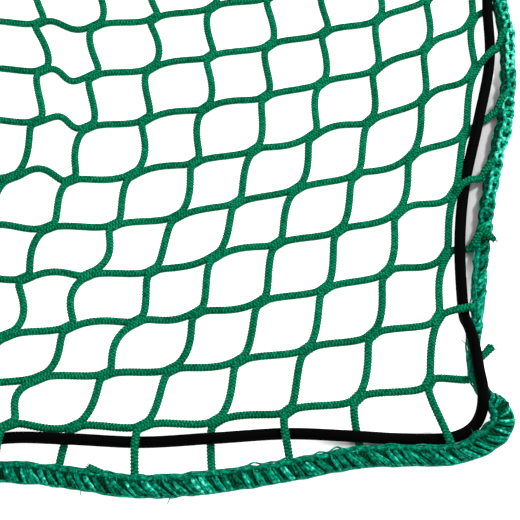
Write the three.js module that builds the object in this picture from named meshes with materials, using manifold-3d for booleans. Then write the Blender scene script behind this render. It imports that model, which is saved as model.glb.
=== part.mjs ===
// Trailer net: a knotless mesh panel with a thick overlocked border and an elastic cord threaded
// through its outermost meshes, lying loose on a floor with its front right-hand corner pushed askew.
// Millimetres, +Z up, +X along the long side, +Y to the back. The floor is z = 0.

import * as THREE from 'three';
import { mergeVertices } from 'three/addons/utils/BufferGeometryUtils.js';
import Module from 'manifold-3d';

const wasm = await Module();
wasm.setup();

// Driving dimensions
const PITCH = 45; // one mesh, from joint to joint
const TWINE = 5.2; // twine across
const CORD = 8; // elastic cord across
const LAST_COLUMN = 30; // columns of joints, counted from 0 at the right-hand edge
const LAST_ROW = 20; // rows of joints, counted from 0 at the front edge
const CUT_EVERY = 2; // every second line of joints is built, so the gaps have twice the pitch
const JOINT_LENGTH = 8; // stretch over which two strands run side by side at a joint
const JOINT_WIDTH = 8; // the two strands together
const TWINE_CHAMFER = 1.4; // how far the twine's flat sides lie inside its widest line
const BORDER_FLATNESS = 0.8; // the border's height as a share of its width
const AIR = 0.3; // gap between pieces
const MERGE_WITHIN = 1e-3; // vertices closer than this are one

// Joint at column 0, row 0 of the net where it lies square, before any of the shifts below
const SQUARE_CORNER = { x: 188, y: -165 };

// How each row lies, from the front edge to the back; the last line holds for all rows behind it.
// slide: how far it has slid to the left. tuck: its share of the pushing back of the front edge.
// sag: its share of the dropping of the right-hand end. draw: how far that end is drawn outwards.
const ROW_LIE = [
  { slide: 85, tuck: 1.0, sag: 1.0, draw: 11 },
  { slide: 68, tuck: 0.68, sag: 0.92, draw: 3 },
  { slide: 52, tuck: 0.45, sag: 0.75, draw: -3 },
  { slide: 40, tuck: 0.32, sag: 0.66, draw: -5 },
  { slide: 25, tuck: 0.12, sag: 0.46, draw: -10 },
  { slide: 12, tuck: 0.0, sag: 0.1, draw: -14 },
  { slide: 4, tuck: 0.0, sag: 0.0, draw: -20 },
  { slide: 1, tuck: 0.0, sag: 0.0, draw: -18 },
  { slide: 0, tuck: 0.0, sag: 0.0, draw: -15 },
  { slide: 0, tuck: 0.0, sag: 0.0, draw: -12 },
  { slide: 0, tuck: 0.0, sag: 0.0, draw: -10 },
];

// How each column lies, from the right-hand edge to the left; the last line holds for all beyond it.
// lift: how far it has moved to the back. gather: how far its front end is pushed back.
// drop: how far its front end has come forward. grip: its share of the drawing of the right-hand end.
const COLUMN_LIE = [
  { lift: 95, gather: 0, drop: 24, grip: 1.0 },
  { lift: 70, gather: 0, drop: 9, grip: 0.6 },
  { lift: 51, gather: 1, drop: 0, grip: 0.3 },
  { lift: 39, gather: 7, drop: 0, grip: 0.12 },
  { lift: 27, gather: 15, drop: 0, grip: 0.0 },
  { lift: 17, gather: 25, drop: 0, grip: 0.0 },
  { lift: 7, gather: 36, drop: 0, grip: 0.0 },
  { lift: 0, gather: 38, drop: 0, grip: 0.0 },
  { lift: 2, gather: 38, drop: 0, grip: 0.0 },
];

// The shifts die down to this share of themselves at the far left-hand and back edges
const FAR_SHARE = 0.35;

// The far left-hand and back edges are drawn in by the elastic, and each line inwards by a share of that
const EDGE_PULL = 8;
const PULL_SHARE = 0.5;

// Loose places where the meshes lie out of line: column and row of the middle, push to the right and
// to the back, and how many meshes the push reaches
const LOOSE_PLACES = [
  { column: 8.6, row: 6.4, right: 13, back: 5, reach: 1.2 },
  { column: 5.2, row: 3.1, right: 0, back: -5, reach: 0.8 },
  { column: 7.3, row: 3.9, right: 0, back: 5, reach: 1.1 },
  { column: 7.0, row: 2.0, right: 5, back: 0, reach: 0.7 },
  { column: 2.2, row: 0, right: 2.5, back: 0, reach: 1.2 },
  { column: 4.7, row: 0, right: -2.5, back: 0, reach: 0.9 },
  { column: 5.1, row: 2, right: 4, back: 0, reach: 0.7 },
  { column: 5.5, row: 4.2, right: 3, back: -1.5, reach: 1.0 },
  { column: 0, row: 3.2, right: -2, back: 2, reach: 1.2 },
  { column: 7, row: 6, right: 1.5, back: 0, reach: 0.8 },
  { column: 16, row: 5, right: -10, back: 8, reach: 2.6 },
  { column: 23, row: 12, right: 11, back: -9, reach: 3.0 },
  { column: 12, row: 15, right: -9, back: -10, reach: 2.6 },
  { column: 26, row: 4, right: 7, back: 8, reach: 2.2 },
  { column: 4, row: 13, right: 7, back: -7, reach: 2.2 },
  { column: 20, row: 20, right: 4, back: -13, reach: 3.5 },
  { column: 30, row: 11, right: 13, back: 3, reach: 3.0 },
  { column: 0, row: 15, right: -9, back: 4, reach: 2.5 },
  { column: 19, row: 0, right: 3, back: 11, reach: 3.0 },
];

// Outer bars, from the last joint to the border, counted from the front right-hand corner; the last line
// holds for all beyond it. reach: from the joint out to the middle of the border. lean: how far the foot
// lies to the right of its joint on the front edge, and to the back of it on the right-hand edge.
// share: where on its way the elastic cord crosses. width: of the border at the foot.
const FRONT_BARS = [
  { reach: 48.6, lean: 14, share: 0.77, width: 14.5 },
  { reach: 40.5, lean: 2, share: 0.674, width: 15.5 },
  { reach: 40, lean: 2, share: 0.37, width: 15.5 },
  { reach: 42, lean: -2, share: 0.315, width: 16 },
  { reach: 41, lean: -4, share: 0.26, width: 16 },
  { reach: 34, lean: -9, share: 0.29, width: 15 },
  { reach: 32.5, lean: -8, share: 0.27, width: 15 },
  { reach: 35, lean: -4, share: 0.38, width: 14.5 },
  { reach: 40, lean: 0, share: 0.42, width: 14 },
];
const RIGHT_BARS = [
  { reach: 33, lean: 6, share: 0.88, width: 11.5 },
  { reach: 28.8, lean: 10, share: 0.645, width: 11 },
  { reach: 26.2, lean: 8, share: 0.34, width: 11.5 },
  { reach: 29, lean: 16, share: 0.25, width: 11.5 },
  { reach: 32.5, lean: 22, share: 0.29, width: 12 },
  { reach: 27.3, lean: 26, share: 0.48, width: 12.5 },
  { reach: 22.5, lean: 16, share: 0.5, width: 12.5 },
  { reach: 23, lean: 8, share: 0.45, width: 12 },
  { reach: 26, lean: 2, share: 0.44, width: 12 },
  { reach: 30, lean: 0, share: 0.42, width: 12 },
];
const PLAIN_BARS = [{ reach: 40, lean: 0, share: 0.42, width: 13 }];

// Beyond the tables the reach swells and shrinks a little along the edge: by this much, at this turn a bar
const EDGE_WAVE = { swell: 2.5, turn: 0.8 };

// The border round the front right-hand corner and on to the bar of row 1, from the corner joint
const BORDER_CORNER = [
  { right: 25.5, front: 45.5, width: 14.5 },
  { right: 38, front: 39.3, width: 15.5 },
  { right: 45.5, front: 32, width: 17 },
  { right: 48.2, front: 26, width: 18 },
  { right: 47.6, front: 20, width: 17 },
  { right: 43.6, front: 12.8, width: 14 },
  { right: 38.6, front: 7.2, width: 12 },
  { right: 35.4, front: 1, width: 11.5 },
  { right: 33, front: -7, width: 11.5 },
  { right: 32.5, front: -21, width: 11.5 },
  { right: 33.2, front: -34, width: 11.5 },
  { right: 36.7, front: -47, width: 9.4 },
];

// The elastic cord round the front right-hand corner, from the corner joint: it runs beside the border,
// cuts the corner, climbs over the border's top and comes down again on its inner side
const CORD_CORNER = [
  { right: -20, front: 37.8, up: 5.5 },
  { right: 11, front: 37, up: 4.2 },
  { right: 22, front: 33.8, up: 4.5 },
  { right: 29.5, front: 28.5, up: 5 },
  { right: 33.8, front: 21, up: 8.2 },
  { right: 35.1, front: 12, up: 13.3 },
  { right: 35, front: 3, up: 14 },
  { right: 33.6, front: -8, up: 13.8 },
  { right: 32.6, front: -19, up: 13.6 },
  { right: 31.1, front: -30, up: 13.7 },
  { right: 28.8, front: -40, up: 12.8 },
  { right: 27.6, front: -47, up: 7.2 },
];

// Where a joint of the net lies on the floor.
const tableLine = (table, index) => table[Math.min(index, table.length - 1)];

function fading(index, last) {
  const firstFaded = ROW_LIE.length - 1;
  const way = THREE.MathUtils.clamp((index - firstFaded) / (last - firstFaded), 0, 1);
  return 1 - (1 - FAR_SHARE) * way;
}

function jointPlace(column, row) {
  const rowLie = tableLine(ROW_LIE, row);
  const columnLie = tableLine(COLUMN_LIE, column);
  const pulledRight = EDGE_PULL * PULL_SHARE ** (LAST_COLUMN - column);
  const pulledForward = EDGE_PULL * PULL_SHARE ** (LAST_ROW - row);
  const leftFade = fading(column, LAST_COLUMN);
  const place = new THREE.Vector2(
    SQUARE_CORNER.x - PITCH * column - rowLie.slide * leftFade + rowLie.draw * columnLie.grip + pulledRight,
    SQUARE_CORNER.y + PITCH * row + columnLie.lift * fading(row, LAST_ROW)
      + rowLie.tuck * columnLie.gather * leftFade - rowLie.sag * columnLie.drop - pulledForward,
  );
  for (const loose of LOOSE_PLACES) {
    const away = Math.hypot(column - loose.column, row - loose.row) / loose.reach;
    place.x += loose.right * Math.exp(-away * away);
    place.y += loose.back * Math.exp(-away * away);
  }
  return place;
}

// The two ends of a joint: near is its front left-hand end, far its back right-hand end. A joint runs
// between the directions of its row and its column: it follows its row this much more than its column,
// less at the right-hand edge by the loss, and by a share of that at each column inwards.
const ROW_WEIGHT = 1.9;
const EDGE_LOSS = 1.4;
const LOSS_SHARE = 0.5;
function jointEnds(column, row) {
  const place = jointPlace(column, row);
  const alongRow = jointPlace(column - 1, row).sub(jointPlace(column + 1, row)).normalize();
  const alongColumn = jointPlace(column, row + 1).sub(jointPlace(column, row - 1)).normalize();
  const weight = ROW_WEIGHT - EDGE_LOSS * LOSS_SHARE ** column;
  const half = alongRow.multiplyScalar(weight).add(alongColumn).setLength(JOINT_LENGTH / 2);
  return { near: place.clone().sub(half), far: place.clone().add(half) };
}

// An outer bar's joint, its foot in the middle of the border, and where the elastic crosses it
function outerBar(side, index) {
  const table = { front: FRONT_BARS, right: RIGHT_BARS }[side] ?? PLAIN_BARS;
  const { lean, share, width, ...lie } = tableLine(table, index);
  const swell = index < table.length ? 0 : EDGE_WAVE.swell * Math.sin(EDGE_WAVE.turn * index);
  const reach = lie.reach + swell;
  const joint = {
    front: () => jointPlace(index, 0),
    right: () => jointPlace(0, index),
    back: () => jointPlace(index, LAST_ROW),
    left: () => jointPlace(LAST_COLUMN, index),
  }[side]();
  const step = {
    front: new THREE.Vector2(lean, -reach),
    right: new THREE.Vector2(reach, lean),
    back: new THREE.Vector2(lean, reach),
    left: new THREE.Vector2(-reach, lean),
  }[side];
  const foot = joint.clone().add(step);
  const slant = step.length() / reach;
  return { side, index, joint, foot, width, slant, crossing: joint.clone().lerp(foot, share) };
}

// All outer bars in order round the net: front edge from left to right, then the right-hand edge, the
// back edge and the left-hand edge
const upTo = (last) => Array.from({ length: last + 1 }, (_, index) => index);
const frontBars = upTo(LAST_COLUMN).reverse().map((column) => outerBar('front', column));
const rightBars = upTo(LAST_ROW).map((row) => outerBar('right', row));
const backBars = upTo(LAST_COLUMN).map((column) => outerBar('back', column));
const leftBars = upTo(LAST_ROW).reverse().map((row) => outerBar('left', row));

// A plain rounded corner of a route, beyond a corner joint
const ROUNDED_CORNER = 0.82;
function plainCorner(column, row, outwards) {
  const joint = jointPlace(column, row);
  const rightwards = column === 0 ? 1 : -1;
  const backwards = row === 0 ? -1 : 1;
  const off = outwards * ROUNDED_CORNER;
  return { x: joint.x + rightwards * off, y: joint.y + backwards * off };
}

// The border's route on the floor, one point at each bar's foot, with the width of the border there
function borderRoute() {
  const corner = jointPlace(0, 0);
  const [{ reach, width }] = PLAIN_BARS;
  const atFoot = (bar) => ({ x: bar.foot.x, y: bar.foot.y, width: bar.width });
  const atCorner = (line) => ({ x: corner.x + line.right, y: corner.y - line.front, width: line.width });
  const atPlainCorner = (column, row) => ({ ...plainCorner(column, row, reach), width });
  return [
    ...frontBars.map(atFoot),
    ...BORDER_CORNER.map(atCorner),
    ...rightBars.slice(1).map(atFoot),
    atPlainCorner(0, LAST_ROW),
    ...backBars.map(atFoot),
    atPlainCorner(LAST_COLUMN, LAST_ROW),
    ...leftBars.map(atFoot),
    atPlainCorner(LAST_COLUMN, 0),
  ];
}

// The elastic goes over every second bar and under the others: over the odd columns of the front and back
// edges, and over the even rows of the two sides
const CORD_OVER = TWINE + AIR + CORD / 2;
const CORD_UNDER = CORD / 2 + AIR / 2;
function cordHeight(bar) {
  const onLongEdge = bar.side === 'front' || bar.side === 'back';
  const over = onLongEdge === (bar.index % 2 === 1);
  return over ? CORD_OVER : CORD_UNDER;
}

function cordRoute() {
  const corner = jointPlace(0, 0);
  const middle = (CORD_OVER + CORD_UNDER) / 2;
  const [{ reach, share }] = PLAIN_BARS;
  const crossing = (bar) => new THREE.Vector3(bar.crossing.x, bar.crossing.y, cordHeight(bar));
  const turn = (column, row) => {
    const place = plainCorner(column, row, reach * share);
    return new THREE.Vector3(place.x, place.y, middle);
  };
  return [
    ...frontBars.slice(0, -1).map(crossing),
    ...CORD_CORNER.map(({ right, front, up }) => new THREE.Vector3(corner.x + right, corner.y - front, up)),
    ...rightBars.slice(1).map(crossing),
    turn(0, LAST_ROW),
    ...backBars.map(crossing),
    turn(LAST_COLUMN, LAST_ROW),
    ...leftBars.map(crossing),
    turn(LAST_COLUMN, 0),
  ];
}

// A closed mesh with shared vertices and no triangles that have shrunk to a line
function closed(geometry) {
  geometry.deleteAttribute('normal');
  geometry.deleteAttribute('uv');
  const merged = mergeVertices(geometry, MERGE_WITHIN);
  const corners = merged.index.array;
  const kept = [];
  for (let i = 0; i < corners.length; i += 3) {
    const triangle = [corners[i], corners[i + 1], corners[i + 2]];
    if (new Set(triangle).size === 3) kept.push(...triangle);
  }
  merged.setIndex(kept);
  return merged;
}

// The level direction across a route at one of its points
function acrossAt(before, after) {
  return new THREE.Vector2(after.y - before.y, before.x - after.x).normalize();
}

// A closed ring: a section carried round a closed route. The faces are a sheet wrapped round the section
// and round the route. placeOf gives the place of a section point at a station.
function ring(stations, section, placeOf) {
  const sheet = new THREE.PlaneGeometry(1, 1, section.length, stations.length);
  const position = sheet.attributes.position;
  const lineLength = section.length + 1;
  for (let i = 0; i < position.count; i += 1) {
    const index = Math.floor(i / lineLength) % stations.length;
    const before = stations[(index + stations.length - 1) % stations.length];
    const after = stations[(index + 1) % stations.length];
    const point = section[(i % lineLength) % section.length];
    const place = placeOf(stations[index], point, acrossAt(before, after));
    position.setXYZ(i, place.x, place.y, place.z);
  }
  return closed(sheet);
}

// A round section of a given number of sides, lying on one of its flats
function roundSection(sides) {
  return Array.from({ length: sides }, (_, side) => {
    const turn = ((side + 0.5) / sides) * 2 * Math.PI - Math.PI / 2;
    return { out: Math.cos(turn), up: Math.sin(turn) };
  });
}

// The border's section: flat on the floor, bulging at the sides and flattened on top.
// out: share of half the width. up: share of the height.
const BORDER_SECTION = [
  { out: 0.6, up: 0 },
  { out: 1, up: 0.34 },
  { out: 0.9, up: 0.75 },
  { out: 0.45, up: 1 },
  { out: -0.45, up: 1 },
  { out: -0.9, up: 0.75 },
  { out: -1, up: 0.34 },
  { out: -0.6, up: 0 },
];

function borderGeometry(extra) {
  return ring(borderRoute(), BORDER_SECTION, (station, { out, up }, across) => {
    const half = station.width / 2 + extra;
    const height = station.width * BORDER_FLATNESS + extra;
    const z = up > 0 ? up * height : -extra;
    return new THREE.Vector3(station.x + across.x * out * half, station.y + across.y * out * half, z);
  });
}

// The elastic cord: a round section along the crossings, with a step half way between them
const CORD_SIDES = 8;
const STEPS_A_BAR = 2;
function cordGeometry() {
  const route = cordRoute();
  const curve = new THREE.CatmullRomCurve3(route, true, 'centripetal');
  const steps = STEPS_A_BAR * route.length;
  const stations = Array.from({ length: steps }, (_, step) => curve.getPoint(step / steps));
  return ring(stations, roundSection(CORD_SIDES), (station, { out, up }, across) => new THREE.Vector3(
    station.x + (across.x * out * CORD) / 2,
    station.y + (across.y * out * CORD) / 2,
    station.z + (up * CORD) / 2,
  ));
}

// A polygon with each side moved inwards by its own distance; the points run anticlockwise.
function inset(points, distances) {
  const lines = points.map((from, i) => {
    const along = points[(i + 1) % points.length].clone().sub(from).normalize();
    const inwards = new THREE.Vector2(-along.y, along.x);
    return { from: from.clone().addScaledVector(inwards, distances[i]), along };
  });
  return lines.map((line, i) => {
    const last = lines[(i + lines.length - 1) % lines.length];
    const between = line.from.clone().sub(last.from);
    const way = between.cross(line.along) / last.along.cross(line.along);
    return last.from.clone().addScaledVector(last.along, way);
  });
}

// The lines of joints that are built, and the distances of a gap's sides from the middle of the strands
const builtLines = (last) => upTo(last).filter((index) => index % CUT_EVERY === 1);
const builtColumns = builtLines(LAST_COLUMN);
const builtRows = builtLines(LAST_ROW);
const TWINE_FLAT = TWINE / 2 - TWINE_CHAMFER;
const JOINT_FLAT = JOINT_WIDTH / 2 - TWINE_CHAMFER;

// One gap of the net: six-sided, with a long joint at its front right-hand and back left-hand corners
function gapOutline(column, row) {
  const left = column + CUT_EVERY;
  const back = row + CUT_EVERY;
  const points = [
    jointEnds(left, row).far,
    jointEnds(column, row).near,
    jointEnds(column, row).far,
    jointEnds(column, back).near,
    jointEnds(left, back).far,
    jointEnds(left, back).near,
  ];
  const distances = [TWINE_FLAT, JOINT_FLAT, TWINE_FLAT, TWINE_FLAT, JOINT_FLAT, TWINE_FLAT];
  return inset(points, distances);
}

// The outline round the outermost built joints, anticlockwise from the front left-hand one. A joint on the
// way is passed along its side, from one end to the other, and off is how far out the outline lies there.
function panelOutline() {
  const [right, left] = [builtColumns[0], builtColumns.at(-1)];
  const [front, back] = [builtRows[0], builtRows.at(-1)];
  const passed = (first, second) => [{ point: first, off: JOINT_FLAT }, { point: second, off: TWINE_FLAT }];
  const nearFirst = ({ near, far }) => passed(near, far);
  const farFirst = ({ near, far }) => passed(far, near);
  const stops = [
    { point: jointEnds(left, front).far, off: TWINE_FLAT },
    ...builtColumns.slice(0, -1).reverse().flatMap((column) => nearFirst(jointEnds(column, front))),
    ...builtRows.slice(1, -1).flatMap((row) => nearFirst(jointEnds(right, row))),
    { point: jointEnds(right, back).near, off: TWINE_FLAT },
    ...builtColumns.slice(1).flatMap((column) => farFirst(jointEnds(column, back))),
    ...builtRows.slice(1, -1).reverse().flatMap((row) => farFirst(jointEnds(left, row))),
  ];
  return inset(stops.map(({ point }) => point), stops.map(({ off }) => -off));
}

// The panel of meshes that has built joints at all corners. Its strands are six-sided, widest half way up.
function panelGeometry() {
  const shape = new THREE.Shape(panelOutline());
  for (const column of builtColumns.slice(0, -1)) {
    for (const row of builtRows.slice(0, -1)) {
      shape.holes.push(new THREE.Path(gapOutline(column, row).reverse()));
    }
  }
  const plate = new THREE.ExtrudeGeometry(shape, {
    depth: 0,
    bevelEnabled: true,
    bevelThickness: TWINE / 2,
    bevelSize: TWINE_CHAMFER,
    bevelSegments: 1,
  });
  return closed(plate.translate(0, 0, TWINE / 2));
}

// A strand end: a six-sided section carried along a short path, cut square at both ends. It is made a
// little thinner than the panel, so that it runs clean into it.
const STRAND_SIDES = 6;
const STRAND_SIZE = 0.96;
function strandGeometry(path) {
  const section = roundSection(STRAND_SIDES);
  const half = (TWINE / 2) * STRAND_SIZE;
  const tallest = Math.max(...section.map(({ up }) => up));
  const corners = section.map(({ out, up }) => new THREE.Vector2(out * half, (up / tallest) * half));
  const outline = new THREE.Shape(corners);
  const steps = path.length - 1;
  const bar = new THREE.ExtrudeGeometry(outline, { depth: steps, steps, bevelEnabled: false });
  const position = bar.attributes.position;
  for (let i = 0; i < position.count; i += 1) {
    const index = Math.round(position.getZ(i));
    const across = acrossAt(path[Math.max(index - 1, 0)], path[Math.min(index + 1, steps)]);
    const out = -position.getX(i);
    const up = position.getY(i);
    position.setXYZ(i, path[index].x + across.x * out, path[index].y + across.y * out, path[index].z + up);
  }
  return closed(bar);
}

// An outer strand: from a built joint over the last line of joints and on into the border. It lies flat
// where the elastic passes over it, and else climbs over the elastic.
const ON_FLOOR = TWINE / 2;
const OVER_CORD = CORD_UNDER + CORD / 2 + AIR + TWINE / 2;
const INTO_BORDER = 5; // height at which it runs into the border
const HUMP = { top: 3.5, foot: 8.5 }; // level distances of the hump's top and foot, square to the cord
function outerStrand(bar) {
  const { side, index, joint, foot, slant, crossing } = bar;
  const { near, far } = {
    front: () => jointEnds(index, builtRows[0]),
    right: () => jointEnds(builtColumns[0], index),
    back: () => jointEnds(index, builtRows.at(-1)),
    left: () => jointEnds(builtColumns.at(-1), index),
  }[side]();
  const onFarSide = side === 'right' || side === 'back';
  const [start, leave] = onFarSide ? [near, far] : [far, near];
  const at = (place, z) => new THREE.Vector3(place.x, place.y, z);
  const onwards = foot.clone().sub(joint).normalize();
  const beside = (distance) => crossing.clone().addScaledVector(onwards, distance * slant);
  if (cordHeight(bar) === CORD_OVER) {
    return [
      at(start, ON_FLOOR),
      at(leave, ON_FLOOR),
      at(joint, ON_FLOOR),
      at(beside(HUMP.foot), ON_FLOOR),
      at(foot, INTO_BORDER),
    ];
  }
  return [
    at(start, ON_FLOOR),
    at(leave, ON_FLOOR),
    at(beside(-HUMP.foot), (ON_FLOOR + OVER_CORD) / 2 + AIR),
    at(beside(-HUMP.top), OVER_CORD),
    at(beside(HUMP.top), OVER_CORD),
    at(foot, INTO_BORDER),
  ];
}

// A solid from a closed geometry, and back
function solidOf(geometry) {
  const vertProperties = new Float32Array(geometry.attributes.position.array);
  const triVerts = new Uint32Array(geometry.index.array);
  return new wasm.Manifold(new wasm.Mesh({ numProp: 3, vertProperties, triVerts }));
}

function geometryOf(solid) {
  const { vertProperties, triVerts } = solid.getMesh();
  const geometry = new THREE.BufferGeometry();
  geometry.setAttribute('position', new THREE.BufferAttribute(vertProperties, 3));
  geometry.setIndex(new THREE.BufferAttribute(triVerts, 1));
  return geometry;
}

// The net: the panel and its outer strands in one piece, cut off just short of the border
function netGeometry() {
  const bars = [...frontBars, ...rightBars, ...backBars, ...leftBars];
  const builtBars = bars.filter(({ index }) => index % CUT_EVERY === 1);
  const strands = builtBars.map((bar) => strandGeometry(outerStrand(bar)));
  const whole = wasm.Manifold.union([panelGeometry(), ...strands].map(solidOf));
  return geometryOf(whole.subtract(solidOf(borderGeometry(AIR))));
}

// Green twine, glossier green yarn and black matt cord
const TWINE_LOOK = { color: 0x0f8a5f, roughness: 0.55 };
const YARN_LOOK = { color: 0x128f68, roughness: 0.4 };
const CORD_LOOK = { color: 0x17181a, roughness: 0.75 };
function piece(name, geometry, look) {
  geometry.computeVertexNormals();
  const mesh = new THREE.Mesh(geometry, new THREE.MeshStandardMaterial({ ...look, metalness: 0 }));
  mesh.name = name;
  return mesh;
}

// The whole net, with the middle of its floor box at the origin
const trailerNet = new THREE.Group();
trailerNet.add(piece('net', netGeometry(), TWINE_LOOK));
trailerNet.add(piece('border', borderGeometry(0), YARN_LOOK));
trailerNet.add(piece('elastic_cord', cordGeometry(), CORD_LOOK));
const middle = new THREE.Box3().setFromObject(trailerNet).getCenter(new THREE.Vector3());
trailerNet.position.set(-middle.x, -middle.y, 0);

export default trailerNet;
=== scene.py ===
"""Trailer net: green knotless netting with an overlocked border and a black elastic threaded round its edge.

The net lies on a pale floor with its front right-hand corner pushed askew, and is seen from above that
corner. Lengths are millimetres in the layout of the net, and become metres where a mesh is made.
"""

import math

import bpy
import numpy as np
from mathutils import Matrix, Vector


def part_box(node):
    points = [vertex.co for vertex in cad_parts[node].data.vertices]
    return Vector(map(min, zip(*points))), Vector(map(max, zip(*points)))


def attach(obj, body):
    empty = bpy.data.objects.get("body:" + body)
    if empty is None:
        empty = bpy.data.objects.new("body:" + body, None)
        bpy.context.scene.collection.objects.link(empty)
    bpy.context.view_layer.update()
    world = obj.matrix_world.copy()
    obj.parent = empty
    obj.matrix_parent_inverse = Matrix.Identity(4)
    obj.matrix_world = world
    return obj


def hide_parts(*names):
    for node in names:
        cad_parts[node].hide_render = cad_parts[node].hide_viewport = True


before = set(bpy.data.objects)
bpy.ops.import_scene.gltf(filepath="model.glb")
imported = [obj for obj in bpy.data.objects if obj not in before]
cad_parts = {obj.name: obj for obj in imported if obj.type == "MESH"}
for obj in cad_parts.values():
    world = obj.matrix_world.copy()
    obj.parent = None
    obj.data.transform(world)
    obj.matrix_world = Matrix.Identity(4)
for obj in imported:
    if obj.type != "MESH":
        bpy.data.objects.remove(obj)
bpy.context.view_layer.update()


# How the netting lies
# The panel is 31 by 21 joints of knotless netting, 45 mm from joint to joint. It was thrown down loose, so
# its rows have slid to the left and its columns have crept backwards near the front right-hand corner.
PITCH = 45.0
LAST_COLUMN = 30  # columns of joints, counted from 0 at the right-hand edge
LAST_ROW = 20  # rows of joints, counted from 0 at the front edge
SQUARE_CORNER = (188.0, -165.0)  # the joint at column 0, row 0, before any shift

# One line a row from the front, the last one for all rows behind it. Columns: slide to the left, share of
# the tuck, share of the sag, draw of the right-hand end outwards.
ROW_LIE = np.array([
    (85, 1.0, 1.0, 11),
    (68, 0.68, 0.92, 3),
    (52, 0.45, 0.75, -3),
    (40, 0.32, 0.66, -5),
    (25, 0.12, 0.46, -10),
    (12, 0.0, 0.1, -14),
    (4, 0.0, 0.0, -20),
    (1, 0.0, 0.0, -18),
    (0, 0.0, 0.0, -15),
    (0, 0.0, 0.0, -12),
    (0, 0.0, 0.0, -10),
])

# One line a column from the right, the last one for all columns beyond it. Columns: lift to the back, gather
# of the front end to the back, drop of the front end, share of the draw.
COLUMN_LIE = np.array([
    (95, 0, 24, 1.0),
    (70, 0, 9, 0.6),
    (51, 1, 0, 0.3),
    (39, 7, 0, 0.12),
    (27, 15, 0, 0.0),
    (17, 25, 0, 0.0),
    (7, 36, 0, 0.0),
    (0, 38, 0, 0.0),
    (2, 38, 0, 0.0),
])
FAR_SHARE = 0.35  # what is left of the shifts at the far left-hand and back edges
EDGE_PULL = 8.0  # the elastic draws in those two edges
PULL_SHARE = 0.5  # and each line inwards by this share of the one outside it

# Places where the meshes lie out of line. Columns: column, row, push to the right, push to the back, reach.
LOOSE_PLACES = np.array([
    (8.6, 6.4, 13, 5, 1.2),
    (5.2, 3.1, 0, -5, 0.8),
    (7.3, 3.9, 0, 5, 1.1),
    (7.0, 2.0, 5, 0, 0.7),
    (2.2, 0, 2.5, 0, 1.2),
    (4.7, 0, -2.5, 0, 0.9),
    (5.1, 2, 4, 0, 0.7),
    (5.5, 4.2, 3, -1.5, 1.0),
    (0, 3.2, -2, 2, 1.2),
    (7, 6, 1.5, 0, 0.8),
    (16, 5, -10, 8, 2.6),
    (23, 12, 11, -9, 3.0),
    (12, 15, -9, -10, 2.6),
    (26, 4, 7, 8, 2.2),
    (4, 13, 7, -7, 2.2),
    (20, 20, 4, -13, 3.5),
    (30, 11, 13, 3, 3.0),
    (0, 15, -9, 4, 2.5),
    (19, 0, 3, 11, 3.0),
])


def line_of(table, index):
    """The table's line for each index, the last line for all beyond it, with the columns first."""
    return np.moveaxis(table[np.clip(index, 0, len(table) - 1)], -1, 0)


def fading(index, last):
    """1 as far as the rows' table goes, then falling evenly to FAR_SHARE at the last line."""
    first = len(ROW_LIE) - 1
    return 1 - (1 - FAR_SHARE) * np.clip((index - first) / (last - first), 0, 1)


def joint_place(column, row):
    """Place of a joint on the floor: its place in a square net, plus the shifts of its row and its column,
    plus a push that dies down as a bell curve round each loose place."""
    column, row = np.broadcast_arrays(column, row)
    slide, tuck, sag, draw = line_of(ROW_LIE, row)
    lift, gather, drop, grip = line_of(COLUMN_LIE, column)
    faded = fading(column, LAST_COLUMN)
    x = SQUARE_CORNER[0] - PITCH * column - slide * faded + draw * grip
    y = SQUARE_CORNER[1] + PITCH * row + lift * fading(row, LAST_ROW) + tuck * gather * faded - sag * drop
    x = x + EDGE_PULL * PULL_SHARE ** (LAST_COLUMN - column.astype(float))
    y = y - EDGE_PULL * PULL_SHARE ** (LAST_ROW - row.astype(float))
    off = np.hypot(column[..., None] - LOOSE_PLACES[:, 0], row[..., None] - LOOSE_PLACES[:, 1])
    push = np.exp(-((off / LOOSE_PLACES[:, 4]) ** 2)) @ LOOSE_PLACES[:, 2:4]
    return np.stack([x, y], -1) + push


def unit(vectors):
    """Each vector at length 1."""
    return vectors / np.linalg.norm(vectors, axis=-1, keepdims=True)


# Outer bars
# Each outermost joint has a bar of twine that runs on into the border, over or under the elastic. One line
# a bar from the front right-hand corner. Columns: reach to the middle of the border, lean of the foot, share
# of the way at which the elastic crosses, width of the border there.
FRONT_BARS = np.array([
    (48.6, 14, 0.77, 14.5),
    (40.5, 2, 0.674, 15.5),
    (40, 2, 0.37, 15.5),
    (42, -2, 0.315, 16),
    (41, -4, 0.26, 16),
    (34, -9, 0.29, 15),
    (32.5, -8, 0.27, 15),
    (35, -4, 0.38, 14.5),
    (40, 0, 0.42, 14),
])
RIGHT_BARS = np.array([
    (33, 6, 0.88, 11.5),
    (28.8, 10, 0.645, 11),
    (26.2, 8, 0.34, 11.5),
    (29, 16, 0.25, 11.5),
    (32.5, 22, 0.29, 12),
    (27.3, 26, 0.48, 12.5),
    (22.5, 16, 0.5, 12.5),
    (23, 8, 0.45, 12),
    (26, 2, 0.44, 12),
    (30, 0, 0.42, 12),
])
PLAIN_BARS = np.array([(40, 0, 0.42, 13)])
EDGE_SWELL = 2.5  # beyond the tables the reach swells and shrinks by this much
EDGE_TURN = 0.8  # at this turn a bar
RIGHTWARDS = np.array([1, 0])
BACKWARDS = np.array([0, 1])


def outer_bars(table, joints, outwards, sideways):
    """Feet, crossings and border widths of the bars of one edge: a foot lies its reach outwards and its
    lean sideways along the edge from its joint, and the crossing at its share of that way."""
    index = np.arange(len(joints))
    reach, lean, share, width = line_of(table, index)
    reach = reach + np.where(index < len(table), 0, EDGE_SWELL * np.sin(EDGE_TURN * index))
    feet = joints + reach[:, None] * outwards + lean[:, None] * sideways
    return feet, joints + share[:, None] * (feet - joints), width


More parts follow.
